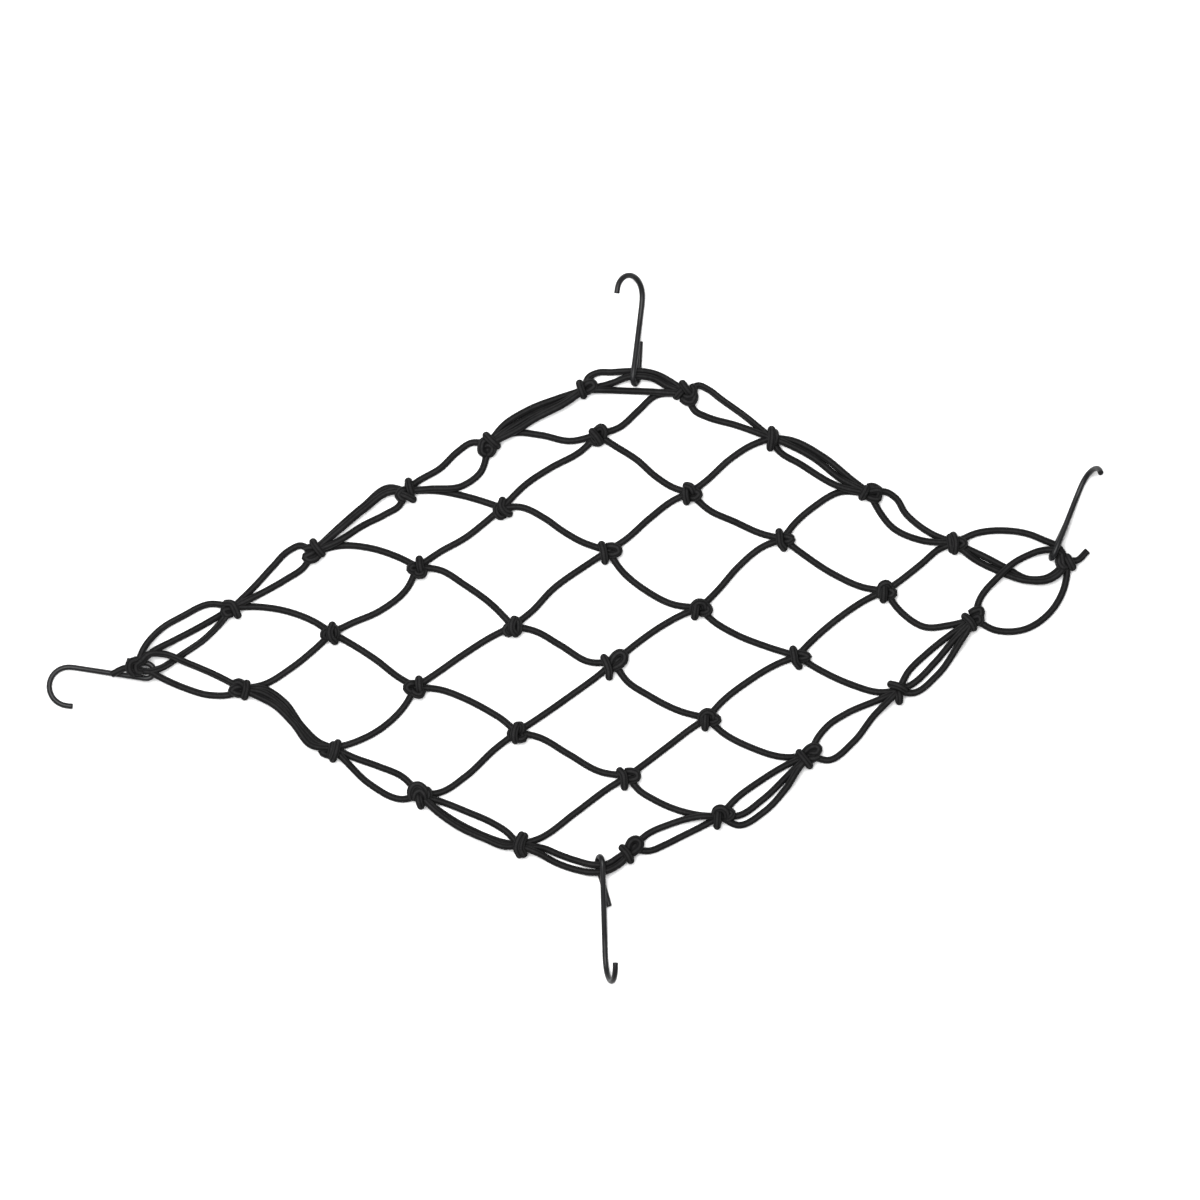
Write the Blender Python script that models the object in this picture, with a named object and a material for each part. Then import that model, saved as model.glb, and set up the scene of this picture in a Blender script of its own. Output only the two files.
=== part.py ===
"""Cargo net of black elastic cord with a wire hook at each side, lying relaxed on a flat surface.

Metres, +Z up. The origin is on the surface, under the middle of the whole object. +X runs along
the net's long diagonal and +Y across it. The net is one solid: its strands are fused at 36 ridged
knots. Each of the four hooks is a solid of its own, threaded on two strands near a corner.
"""
import math
from collections import namedtuple

import bmesh
import bpy
import numpy as np
from mathutils import Matrix, Vector

# ---- Driving dimensions, in metres -----------------------------------------------------------
CORD_DIAMETER = 0.004
WIRE_DIAMETER = 0.0034
KNOT_LENGTH = 0.0155
KNOT_WIDTH = 0.0130
KNOT_HEIGHT = 0.0108
EYE_GAP = 0.0057

# The net was laid out flat and read from straight above. The tables below give places as
# picture x (to the right) and y (down), and this is how large one such unit is on the surface.
PICTURE_UNIT = 1.0 / 1650.0
MIDDLE_X = 574.1
MIDDLE_Y = 628.0

# ---- How finely the shapes are divided -------------------------------------------------------
FINE_STEP = 0.002
STRAND_TOLERANCE = 0.0005        # a strand's straight stretches keep this close to its curve
STRAND_BEVEL_RESOLUTION = 1      # six sides
WIRE_BEVEL_RESOLUTION = 2        # eight sides
KNOT_SIDES = 8
KNOT_RINGS = 7
KNOT_CENTRE = 0.42               # of its height: lower than half, so that it lies on a flat
STRAND_INSET = 0.0022            # a strand ends this far from the middle of its knot
LEG_STEPS = 3
EYE_STEPS = 7
MOUTH_STEPS = 12
SHANK_STEPS = 7
SOFT_END = 0.15                  # the share of a bend over which it starts, and over which it ends
LEG_DROP = 1 / 3                 # how much of the eye's lift the tip of the short leg has lost
EQUAL_AREA_SIX = math.sqrt(2 * math.pi / (6 * math.sin(math.pi / 3)))
EQUAL_AREA_EIGHT = math.sqrt(2 * math.pi / (8 * math.sin(math.pi / 4)))
STRAND_RADIUS = CORD_DIAMETER / 2 * EQUAL_AREA_SIX
STRAND_HALF_HEIGHT = STRAND_RADIUS * math.cos(math.pi / 6)
WIRE_RADIUS = WIRE_DIAMETER / 2 * EQUAL_AREA_EIGHT
STRAND_REST = 0.0003             # the strands hang this far over the surface, between the knots
LAYER = 0.00005                  # neighbouring strands differ in height by this much,
LAYERS = 9                       # in this many layers, so that no two faces lie in one plane
NET_DETAIL = 0.8                 # the share of the fused net's triangles that are kept

# ---- The ridges of a knot. Places along its axis run from -1 to 1 ----------------------------
WAIST = 0.76                     # its width with no ridge, as a share of the full width
WRAP = 0.24                      # what the wrap round its middle adds to that
WRAP_AT = -0.12
WRAP_SPREAD = 0.2
SHOULDER = 0.12                  # what each of its two shoulders adds
SHOULDERS_MIDDLE = -0.05
SHOULDER_OUT = 0.62
SHOULDER_SPREAD = 0.22
BIGHT_RISE = 0.25                # how far the bight points up, for one to the side
BIGHT_LENGTH = 0.16              # how much longer the knot is where its bight bulges
BIGHT_WIDTH = 0.18               # and how much wider
KNOT_SKEW = 0.0012               # how far one flank of a knot lies ahead of its middle

# ---- Finishes --------------------------------------------------------------------------------
CORD_COLOR = (0.022, 0.022, 0.023)
CORD_ROUGHNESS = 0.82
CORD_COAT = 0.0
WIRE_COLOR = (0.008, 0.008, 0.009)
WIRE_ROUGHNESS = 0.28
WIRE_COAT = 0.4
WIRE_SMOOTH_TO = math.radians(50)

# ---- The knots: place, tilt of the knot's axis, which way its bight bulges, and its lift -----
# tilt and bulge are in degrees, counted from +X towards +Y. lift is in millimetres.
Knot = namedtuple("Knot", "x y tilt bulge lift")
KNOTS = {
    "A0": Knot(584, 390, 15, 30, 0), "A1": Knot(687, 394, -40, 290, 0), "A2": Knot(771, 438, -25, 60, 0),
    "A3": Knot(870, 494, -20, 300, 0), "A4": Knot(954, 543, -10, 340, 0),
    "A5": Knot(1066.5, 560, -42, 300, 0),
    "B0": Knot(489, 444, 35, 250, 0), "B1": Knot(598, 435, 20, 170, 0), "B2": Knot(690, 493, 0, 0, 0),
    "B3": Knot(783, 539, 0, 0, 0), "B4": Knot(885, 591, 0, 350, 0), "B5": Knot(974, 619, 40, 20, 0),
    "C0": Knot(406, 491, 15, 210, 0), "C1": Knot(502, 508, 10, 330, 0), "C2": Knot(608, 551, 0, 0, 0),
    "C3": Knot(700, 608, 0, 350, 0), "C4": Knot(797, 656, 0, 0, 0), "C5": Knot(898, 691, 20, 90, 0),
    "D0": Knot(313, 552, 25, 220, 0), "D1": Knot(418, 567, 5, 200, 0), "D2": Knot(513, 626, 0, 200, 0),
    "D3": Knot(614, 662, 20, 40, 0), "D4": Knot(707, 718, 0, 0, 0), "D5": Knot(809, 755, 30, 60, 0),
    "E0": Knot(234, 607, 25, 160, 0), "E1": Knot(332, 633, 0, 190, 0), "E2": Knot(416, 687, 0, 180, 0),
    "E3": Knot(517, 732, 0, 190, 0), "E4": Knot(628, 776, 0, 10, 0), "E5": Knot(720, 816, 0, 20, 0),
    "F0": Knot(138, 667, 10, 200, 9.0), "F1": Knot(243, 689, -10, 30, 0), "F2": Knot(334, 748, -25, 30, 0),
    "F3": Knot(420, 795, -15, 140, 0), "F4": Knot(519, 845, -5, 220, 0), "F5": Knot(632, 849, 35, 60, 0),
}

# ---- The strands: from knot to knot, and the places each one passes on its way ---------------
# A third number, where there is one, is how far the cord is lifted there, in millimetres.
Strand = namedtuple("Strand", "start end way")
STRANDS = (
    # Across the mesh, to the right and down.
    Strand("B0", "B1", ((515, 433), (540, 435), (570, 441))),
    Strand("B1", "B2", ((615, 446), (637, 460), (655, 476), (672, 487))),
    Strand("B2", "B3", ((709, 510), (734, 521.5), (761, 533.5))),
    Strand("B3", "B4", ((800, 552), (835, 575), (862, 587))),
    Strand("B4", "B5", ((900, 611), (925, 627), (950, 625))),
    Strand("C0", "C1", ((438, 491), (460, 495), (485, 502))),
    Strand("C1", "C2", ((520, 507), (545, 518.5), (562, 530.5), (580, 541))),
    Strand("C2", "C3", ((622, 571), (645, 590), (672, 604))),
    Strand("C3", "C4", ((712, 620), (735, 634), (765, 646))),
    Strand("C4", "C5", ((818, 669), (850, 684), (878, 692))),
    Strand("D0", "D1", ((343, 545.5), (370, 548), (398, 557))),
    Strand("D1", "D2", ((440, 570), (465, 585), (490, 603))),
    Strand("D2", "D3", ((535, 631), (560, 645), (590, 662))),
    Strand("D3", "D4", ((627, 681), (648, 695), (680, 711))),
    Strand("D4", "D5", ((722, 732), (750, 747), (785, 757))),
    Strand("E0", "E1", ((262, 607), (290, 612), (315, 622))),
    Strand("E1", "E2", ((350, 643), (375, 659), (400, 678))),
    Strand("E2", "E3", ((440, 689.5), (468, 700), (488, 710.5), (501, 718.5))),
    Strand("E3", "E4", ((538.5, 737), (568.5, 754), (600, 771.5))),
    Strand("E4", "E5", ((639, 790), (654, 799.5), (671, 807.5), (700, 815))),
    # Across the mesh, to the right and up.
    Strand("B1", "A1", ((620, 427), (638, 411), (655, 396))),
    Strand("C1", "B1", ((527, 483.5), (550.5, 468), (580.5, 451.5))),
    Strand("D1", "C1", ((440, 552), (465, 538), (488, 520))),
    Strand("E1", "D1", ((350, 624), (380.5, 610.5), (406, 590))),
    Strand("F1", "E1", ((265, 684), (290, 669), (315, 649))),
    Strand("B2", "A2", ((706, 481), (729, 460), (750, 446))),
    Strand("C2", "B2", ((625, 540), (650, 518), (674, 500))),
    Strand("D2", "C2", ((531, 612), (553, 589), (585, 566))),
    Strand("E2", "D2", ((435.5, 674), (460.5, 656.5), (492, 636.5))),
    Strand("F2", "E2", ((352, 743), (379.5, 729.5), (403, 708))),
    Strand("B3", "A3", ((792, 526.5), (813.5, 507), (840, 492))),
    Strand("C3", "B3", ((718, 590), (738, 567), (764, 546))),
    Strand("D3", "C3", ((638, 642.5), (660, 627), (686, 613))),
    Strand("E3", "D3", ((540, 717), (570, 696), (600, 674))),
    Strand("F3", "E3", ((441, 792), (466, 776), (495, 749))),
    Strand("B4", "A4", ((897.5, 582.5), (920.5, 564.5), (940, 548.5))),
    Strand("C4", "B4", ((810.5, 642), (838.5, 618), (870, 597.5))),
    Strand("D4", "C4", ((722.5, 701), (745.5, 683), (778, 663.5))),
    Strand("E4", "D4", ((643, 765), (668, 746), (696, 725))),
    Strand("F4", "E4", ((540, 838), (575, 813), (610, 787))),
    # The upper right edge.
    Strand("A0", "A1", ((589, 377), (597, 373), (612, 372.3), (628, 371.5, 3.45), (642, 371.5, 3.45),
                        (658, 375), (671, 382))),
    Strand("A0", "A1", ((602, 386), (614, 382.5), (628, 377.3, 3.45), (640, 376.5, 3.45),
                        (652, 378.5), (668, 387))),
    Strand("A0", "A1", ((611, 390.3), (634, 391.2), (650, 391.8), (664, 392.8))),
    Strand("A1", "A2", ((698, 385.5), (708, 389.5), (720, 398.5), (745, 416.5))),
    Strand("A1", "A2", ((695, 411), (707, 417), (735, 425))),
    Strand("A2", "A3", ((790, 440), (822, 456), (852, 480))),
    Strand("A2", "A3", ((783, 442.5), (811, 456.5), (843, 480.5))),
    Strand("A2", "A3", ((778, 450), (800, 464), (840, 487))),
    Strand("A3", "A4", ((886, 492), (896, 498.5), (905, 513), (916, 523.5), (930, 533))),
    Strand("A3", "A4", ((876, 506), (893, 528), (920, 540))),
    Strand("A4", "A5", ((977, 533), (1004, 530.5), (1028, 534), (1044, 540.5, 3.55), (1056, 546, 3.55))),
    Strand("A4", "A5", ((984, 556.5), (1005, 567.5), (1029, 579), (1048, 577), (1058, 570))),
    Strand("A4", "A5", ((973, 558.5), (998, 571), (1026, 580.5), (1050, 579), (1060, 572))),
    # The upper left edge.
    Strand("B0", "A0", ((503, 426), (528, 410), (559, 398))),
    Strand("B0", "A0", ((508, 430), (535, 414), (562, 403))),
    Strand("B0", "A0", ((513, 432.5), (535, 419), (566, 403))),
    Strand("C0", "B0", ((417, 482), (440, 468.5), (458, 451.5), (471, 443))),
    Strand("C0", "B0", ((430, 489), (462, 486), (480, 473))),
    Strand("D0", "C0", ((341, 525.5), (362.5, 507), (390, 487.5))),
    Strand("D0", "C0", ((342, 528), (365, 509), (390, 492))),
    Strand("D0", "C0", ((336, 542.5), (364, 525), (385, 514.5), (400, 505))),
    Strand("E0", "D0", ((257, 584), (272.5, 567), (288.5, 551), (301, 545.5))),
    Strand("E0", "D0", ((262, 593), (285, 580), (305, 566))),
    Strand("F0", "E0", ((145, 648, 6.5), (160, 630), (183, 616), (210, 604))),
    Strand("F0", "E0", ((153, 652, 6.5), (173, 641), (196, 629), (219, 616))),
    Strand("F0", "E0", ((143.2, 670.2, 7.6), (150.5, 671.2), (160, 668.5), (183, 654), (204, 639.5),
                        (219, 625))),
    # The lower left edge.
    Strand("F0", "F1", ((150, 654, 8.0), (165, 654, 4.5), (188, 663), (218, 676))),
    Strand("F0", "F1", ((143.0, 670.1, 7.6), (150.7, 671.3), (160, 676.5), (185, 688), (210, 695),
                        (232, 694))),
    Strand("F1", "F2", ((262, 688), (283.5, 701), (303, 727), (319, 742))),
    Strand("F1", "F2", ((262, 692), (281, 705), (299, 727), (318, 745))),
    Strand("F1", "F2", ((257, 695.5), (275, 705), (293.5, 723), (312, 745))),
    Strand("F2", "F3", ((353, 757), (378, 766), (403, 777))),
    Strand("F2", "F3", ((346, 761), (370, 784), (403, 799))),
    Strand("F3", "F4", ((440, 801), (468, 812), (490, 821.5), (507, 832))),
    Strand("F3", "F4", ((440, 811), (455, 821), (472, 830), (503, 842))),
    Strand("F3", "F4", ((437, 811), (458, 826), (485, 838.5), (505, 846))),
    Strand("F4", "F5", ((545, 848.5), (558, 854), (575, 860), (594, 864.4, 3.45), (606, 864.0, 3.45),
                        (620, 856))),
    Strand("F4", "F5", ((538, 852.5), (556, 862.5), (575, 869.2), (594, 872, 3.45),
                        (606, 870.5, 3.45), (621, 862.5))),
    # The lower right edge.
    Strand("F5", "E5", ((646, 835), (670, 824), (700, 816))),
    Strand("F5", "E5", ((650, 850.5), (664, 845), (680, 837), (706, 824))),
    Strand("E5", "D5", ((736, 798.5), (759, 781.5), (790, 763))),
    Strand("E5", "D5", ((738, 815.5), (763, 799), (792, 771))),
    Strand("E5", "D5", ((738, 825), (764, 811.5), (785.5, 788.5), (799, 767))),
    Strand("D5", "C5", ((819, 735.5), (829, 724.5), (846, 713.5), (880, 699))),
    Strand("D5", "C5", ((828, 760), (853, 742), (875, 714))),
    Strand("C5", "B5", ((907.5, 672.5), (926.5, 653.5), (949, 635.5))),
    Strand("C5", "B5", ((912, 684), (935, 662), (957, 636))),
    Strand("C5", "B5", ((912, 693), (937, 675), (962, 638))),
    Strand("B5", "A5", ((979.5, 599.5), (997.5, 577), (1011, 564.5), (1026, 556), (1041, 550.5, 3.55),
                        (1055, 550.5, 3.55))),
    Strand("B5", "A5", ((995, 630), (1025, 629), (1050, 612), (1063, 590), (1066.5, 575))),
)
# The free end of the cord at the right corner, and the one at the left corner over the hook.
FREE_ENDS = (
    Strand("A5", None, ((1076, 560.5), (1087, 551))),
    Strand("F0", None, ((126, 668, 8.8), (113, 674, 7.3))),
)

# ---- The hooks -------------------------------------------------------------------------------
# x and y are the outside of the eye's bend. heading points from the eye to the mouth, in degrees.
# length is the whole hook, in millimetres. side is +1 where the mouth opens to the left of the
# heading. mouth_roll and eye_roll turn the mouth and the eye up out of the surface. leg is the
# short leg's reach, in millimetres, and leg_turn turns it sideways. sweep is how far round the
# mouth goes, run is the wire in it, in millimetres, and tighten is 1 for an even bend and more for
# one that starts wide and ends narrow. bend_lift is the eye's height over the surface, in
# millimetres.
Hook = namedtuple(
    "Hook", "x y heading length side mouth_roll eye_roll leg leg_turn sweep run tighten bend_lift")
HOOKS = {
    "hook_top": Hook(634.4, 387.0, 83, 68.0, 1, 45, 69, 26.0, 4, 182, 47, 1.5, 0.0),
    "hook_right": Hook(1049.5, 561, 67.6, 64.0, -1, 69, 86, 24.0, -3, 117, 31, 1.2, 0.0),
    "hook_bottom": Hook(599.7, 853.4, 271.6, 78.4, 1, 75, 70, 31.0, 14, 175, 46, 1.4, 0.0),
    "hook_left": Hook(157.3, 672.3, 171.5, 65.2, 1, 0, 0, 17.0, 0, 184, 44, 1.0, 5.0),
}


def on_surface(x, y):
    """A place of the tables, in metres."""
    return np.array(((x - MIDDLE_X) * PICTURE_UNIT, (MIDDLE_Y - y) * PICTURE_UNIT))


def ease(t):
    """A smooth rise from 0 to 1."""
    t = np.clip(t, 0.0, 1.0)
    return t * t * (3 - 2 * t)


def slant(share):
    """A change from 0 to 1 that is even but for its soft ends."""
    slope = 1 / (1 - SOFT_END)
    if share < SOFT_END:
        return slope * share**2 / (2 * SOFT_END)
    if share > 1 - SOFT_END:
        return 1 - slope * (1 - share)**2 / (2 * SOFT_END)
    return slope * (share - SOFT_END / 2)


def smooth_curve(points, step):
    """Points at an even step along a smooth curve through the given points."""
    points = np.asarray(points, float)
    spans = np.linalg.norm(np.diff(points, axis=0), axis=1)
    at = np.concatenate(([0.0], np.cumsum(spans)))
    slopes = np.diff(points, axis=0) / spans[:, None]
    tangents = np.empty_like(points)
    tangents[0], tangents[-1] = slopes[0], slopes[-1]
    share = (spans[1:] / (spans[1:] + spans[:-1]))[:, None]
    tangents[1:-1] = slopes[:-1] * share + slopes[1:] * (1 - share)
    places = np.linspace(0.0, at[-1], max(3, round(at[-1] / step) + 1))
    i = np.clip(np.searchsorted(at, places, side="right") - 1, 0, len(spans) - 1)
    u = ((places - at[i]) / spans[i])[:, None]
    curve = ((2 * u**3 - 3 * u**2 + 1) * points[i] + (u**3 - 2 * u**2 + u) * spans[i, None] * tangents[i]
             + (3 * u**2 - 2 * u**3) * points[i + 1] + (u**3 - u**2) * spans[i, None] * tangents[i + 1])
    return places, curve


def sparse(line, tolerance):
    """The fewest of a line's points that keep it within the tolerance."""
    run = line[-1] - line[0]
    along = np.clip((line - line[0]) @ run / (run @ run), 0.0, 1.0)
    off = np.linalg.norm(line - line[0] - along[:, None] * run, axis=1)
    furthest = int(np.argmax(off))
    if off[furthest] <= tolerance:
        return line[[0, -1]]
    before, after = sparse(line[:furthest + 1], tolerance), sparse(line[furthest:], tolerance)
    return np.concatenate((before[:-1], after))


def strand_line(strand, layer):
    """The centre line of a strand, from inside one knot to inside the next."""
    first = KNOTS[strand.start]
    stops = [(first.x, first.y, first.lift), *strand.way]
    if strand.end:
        last = KNOTS[strand.end]
        stops.append((last.x, last.y, last.lift))
    flat = [on_surface(stop[0], stop[1]) for stop in stops]
    flat[0] = flat[0] + STRAND_INSET * (flat[1] - flat[0]) / np.linalg.norm(flat[1] - flat[0])
    if strand.end:
        flat[-1] = flat[-1] + STRAND_INSET * (flat[-2] - flat[-1]) / np.linalg.norm(flat[-2] - flat[-1])
    lifts = [stop[2] / 1000 if len(stop) > 2 else 0.0 for stop in stops]
    reach = np.concatenate(([0.0], np.cumsum(np.linalg.norm(np.diff(flat, axis=0), axis=1))))
    places, curve = smooth_curve(flat, FINE_STEP)
    i = np.clip(np.searchsorted(reach, places, side="right") - 1, 0, len(lifts) - 2)
    rise = ease((places - reach[i]) / (reach[i + 1] - reach[i]))
    lift = np.array(lifts)[i] * (1 - rise) + np.array(lifts)[i + 1] * rise
    height = STRAND_REST + STRAND_HALF_HEIGHT + LAYER * layer + lift
    return sparse(np.column_stack((curve, height)), STRAND_TOLERANCE)


def mouth_bend(hook, ahead, mouth_way):
    """The bend of a hook's mouth, counted from the end of its shank."""
    chord = hook.run / 1000 / MOUTH_STEPS
    place = Vector((0.0, 0.0, 0.0))
    bend = []
    for step in range(MOUTH_STEPS):
        angle = math.radians(hook.sweep) * slant(((step + 0.5) / MOUTH_STEPS) ** hook.tighten)
        place = place + (ahead * math.cos(angle) + mouth_way * math.sin(angle)) * chord
        bend.append(place)
    return bend


def hook_line(hook):
    """The centre line of a hook: short leg, eye, shank and mouth."""
    turn = math.radians(hook.heading)
    ahead = Vector((math.cos(turn), math.sin(turn), 0.0))
    aside = Vector((-ahead.y, ahead.x, 0.0)) * hook.side
    up = Vector((0.0, 0.0, 1.0))
    mouth_roll, eye_roll = math.radians(hook.mouth_roll), math.radians(hook.eye_roll)
    mouth_way = aside * math.cos(mouth_roll) + up * math.sin(mouth_roll)
    eye_way = -aside * math.cos(eye_roll) - up * math.sin(eye_roll)
    eye_radius = (EYE_GAP + 2 * WIRE_RADIUS) / 2
    floor = WIRE_RADIUS * math.cos(math.pi / 8)
    bend = Vector((*on_surface(hook.x, hook.y), 0.0))
    eye_height = floor + hook.bend_lift / 1000 + eye_radius * math.sin(eye_roll)
    eye = bend + ahead * (eye_radius + WIRE_RADIUS) + up * eye_height

    line = []
    leg_turn = Matrix.Rotation(math.radians(hook.leg_turn), 3, "Z")
    leg_start = eye + eye_way * eye_radius
    leg_end = leg_start + leg_turn @ ahead * (hook.leg / 1000 - eye_radius)
    leg_end.z = max(floor, leg_end.z - LEG_DROP * hook.bend_lift / 1000)
    for step in range(LEG_STEPS):
        line.append(leg_end.lerp(leg_start, step / LEG_STEPS))
    for step in range(EYE_STEPS + 1):
        angle = math.pi * (0.5 - step / EYE_STEPS)
        line.append(eye - ahead * eye_radius * math.cos(angle) + eye_way * eye_radius * math.sin(angle))
    shank_start = line[-1]
    mouth = mouth_bend(hook, ahead, mouth_way)
    mouth_reach = max(place.dot(ahead) for place in mouth)
    shank_length = hook.length / 1000 - eye_radius - mouth_reach - 2 * WIRE_RADIUS
    for step in range(1, SHANK_STEPS + 1):
        share = step / SHANK_STEPS
        place = shank_start + ahead * shank_length * share
        place.z += (floor - shank_start.z) * slant(share)
        line.append(place)
    shank_end = line[-1]
    line += [shank_end + place for place in mouth]
    return [tuple(place) for place in line]


def tube_mesh(name, line, radius, resolution, tilt):
    """A closed mesh tube along a line, made as a bevelled curve with filled, welded caps."""
    curve = bpy.data.curves.new(name, "CURVE")
    curve.dimensions = "3D"
    curve.twist_mode = "Z_UP"
    curve.bevel_depth = radius
    curve.bevel_resolution = resolution
    curve.use_fill_caps = True
    spline = curve.splines.new("POLY")
    spline.points.add(len(line) - 1)
    for point, place in zip(spline.points, line):
        point.co = (*place, 1.0)
        point.tilt = tilt
    holder = bpy.data.objects.new(name, curve)
    bpy.context.scene.collection.objects.link(holder)
    mesh = bpy.data.meshes.new_from_object(holder.evaluated_get(bpy.context.evaluated_depsgraph_get()))
    bpy.data.objects.remove(holder)
    weld = bmesh.new()
    weld.from_mesh(mesh)
    bmesh.ops.remove_doubles(weld, verts=weld.verts, dist=1e-6)
    bmesh.ops.recalc_face_normals(weld, faces=weld.faces)
    weld.to_mesh(mesh)
    weld.free()
    return mesh


def knot_ridges(along):
    """How far a knot swells at a place along its axis, from -1 at one end to 1 at the other."""
    wrap = math.exp(-((along - WRAP_AT) / WRAP_SPREAD) ** 2)
    shoulders = math.exp(-((abs(along - SHOULDERS_MIDDLE) - SHOULDER_OUT) / SHOULDER_SPREAD) ** 2)
    return WAIST + WRAP * wrap + SHOULDER * shoulders


def knot_mesh(name, knot):
    """A ridged knot: a ball drawn out along its axis, with the wrap and the bight raised."""
    ball = bmesh.new()
    bmesh.ops.create_uvsphere(ball, u_segments=KNOT_SIDES, v_segments=KNOT_RINGS, radius=1.0)
    half_turn = Matrix.Rotation(math.pi / KNOT_SIDES, 3, "Z")
    bmesh.ops.rotate(ball, verts=ball.verts, matrix=half_turn)
    bmesh.ops.rotate(ball, verts=ball.verts, matrix=Matrix.Rotation(math.pi / 2, 3, "Y"))
    tilt = Matrix.Rotation(math.radians(knot.tilt), 3, "Z")
    bulge = math.radians(knot.bulge - knot.tilt)
    bulge_way = Vector((math.cos(bulge), math.sin(bulge), BIGHT_RISE)).normalized()
    for vert in ball.verts:
        way = vert.co.normalized()
        swell = knot_ridges(vert.co.x)
        bight = max(0.0, way.dot(bulge_way)) ** 3
        vert.co.x *= KNOT_LENGTH / 2 * (1 + BIGHT_LENGTH * bight)
        vert.co.y *= KNOT_WIDTH / 2 * swell * (1 + BIGHT_WIDTH * bight)
        vert.co.z *= KNOT_HEIGHT / 2 * swell
        vert.co.x += KNOT_SKEW * way.y
        vert.co = tilt @ vert.co
        vert.co.z = max(0.0, vert.co.z + KNOT_HEIGHT * KNOT_CENTRE)
        vert.co += Vector((*on_surface(knot.x, knot.y), knot.lift / 1000))
    bmesh.ops.recalc_face_normals(ball, faces=ball.faces)
    mesh = bpy.data.meshes.new(name)
    ball.to_mesh(mesh)
    ball.free()
    return mesh


def joined(name, meshes, collection):
    """One object that holds all the given meshes."""
    whole = bmesh.new()
    for mesh in meshes:
        whole.from_mesh(mesh)
        bpy.data.meshes.remove(mesh)
    mesh = bpy.data.meshes.new(name)
    whole.to_mesh(mesh)
    whole.free()
    holder = bpy.data.objects.new(name, mesh)
    collection.objects.link(holder)
    return holder


def principled(name, color, roughness, coat):
    """A plain material for one kind of piece."""
    material = bpy.data.materials.new(name)
    material.use_nodes = True
    shader = material.node_tree.nodes["Principled BSDF"]
    shader.inputs["Base Color"].default_value = (*color, 1.0)
    shader.inputs["Roughness"].default_value = roughness
    shader.inputs["Metallic"].default_value = 0.0
    shader.inputs["Coat Weight"].default_value = coat
    return material


def build_net(collection, helpers, material):
    """All strands and knots, fused to one solid."""
    flat_down = 0.0
    tubes = [tube_mesh(f"strand_{i}", strand_line(strand, i % LAYERS), STRAND_RADIUS,
                       STRAND_BEVEL_RESOLUTION, flat_down)
             for i, strand in enumerate(STRANDS + FREE_ENDS)]
    strands = joined("net", tubes, collection)
    knots = joined("knots", [knot_mesh(name, knot) for name, knot in KNOTS.items()], helpers)
    knots.hide_render = True
    knots.display_type = "WIRE"
    fuse = strands.modifiers.new("fuse", "BOOLEAN")
    fuse.operation = "UNION"
    fuse.solver = "EXACT"
    fuse.use_self = True
    fuse.object = knots
    thin = strands.modifiers.new("thin", "DECIMATE")
    thin.ratio = NET_DETAIL
    thin.use_collapse_triangulate = True
    strands.data.materials.append(material)
    return strands


def build_hook(name, hook, collection, material):
    """One bent wire hook."""
    flat_inward = math.pi / 8
    mesh = tube_mesh(name, hook_line(hook), WIRE_RADIUS, WIRE_BEVEL_RESOLUTION, flat_inward)
    mesh.shade_smooth()
    mesh.set_sharp_from_angle(angle=WIRE_SMOOTH_TO)
    mesh.materials.append(material)
    holder = bpy.data.objects.new(name, mesh)
    collection.objects.link(holder)
    return holder


def main():
    for holder in list(bpy.data.objects):
        bpy.data.objects.remove(holder)
    collection = bpy.data.collections.new("cargo net")
    helpers = bpy.data.collections.new("helpers")
    bpy.context.scene.collection.children.link(collection)
    bpy.context.scene.collection.children.link(helpers)
    cord = principled("elastic_cord", CORD_COLOR, CORD_ROUGHNESS, CORD_COAT)
    wire = principled("coated_wire", WIRE_COLOR, WIRE_ROUGHNESS, WIRE_COAT)
    build_net(collection, helpers, cord)
    for name, hook in HOOKS.items():
        build_hook(name, hook, collection, wire)


main()
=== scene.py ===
# %% [markdown]
# # A cargo net, dressed
# The real object is one length of black elastic cord, tied by hand into a diamond mesh, with a bent
# wire hook at each side. It lies relaxed on a flat surface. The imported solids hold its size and
# layout, and this script puts the finish on them: the cord's round turns in every knot, its braided
# sheath, and the black coating of the wire. Everything is in metres, in the frame of the solids.

# %% Load the frame
import math
from collections import namedtuple

import bmesh
import bpy
import numpy as np
from mathutils import Matrix, Vector


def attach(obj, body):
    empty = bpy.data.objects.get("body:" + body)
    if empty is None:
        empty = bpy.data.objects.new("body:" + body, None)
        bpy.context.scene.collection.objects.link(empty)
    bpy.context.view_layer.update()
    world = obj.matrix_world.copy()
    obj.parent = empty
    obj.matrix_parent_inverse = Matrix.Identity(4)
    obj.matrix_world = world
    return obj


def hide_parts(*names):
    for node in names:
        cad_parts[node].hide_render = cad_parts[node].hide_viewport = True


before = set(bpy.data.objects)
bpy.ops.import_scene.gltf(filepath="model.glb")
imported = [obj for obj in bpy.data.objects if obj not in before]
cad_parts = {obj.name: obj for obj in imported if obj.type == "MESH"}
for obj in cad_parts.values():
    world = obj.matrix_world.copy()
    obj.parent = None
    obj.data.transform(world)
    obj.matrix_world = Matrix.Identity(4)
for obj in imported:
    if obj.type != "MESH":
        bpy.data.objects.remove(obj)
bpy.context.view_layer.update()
print("nodes:", sorted(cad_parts))

# %% [markdown]
# ## The view, the floor and the light
# The net was laid on a white surface and seen from straight above, so the camera looks straight
# down from far off, with a long lens that hardly shows perspective. A low camera with a wide lens
# would lean the hooks outwards. The light is what a small product studio has: one broad panel over
# the table, a second one lower down at the side for a little shape, and white walls all round.

# %% The camera
FRAME_WIDTH = 0.7273             # how much of the surface the picture shows, from side to side
FRAME_MIDDLE = (0.0157, 0.0170)  # the place on the surface under the middle of the picture
CAMERA_HEIGHT = 4.0
SENSOR_WIDTH = 36.0

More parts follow.
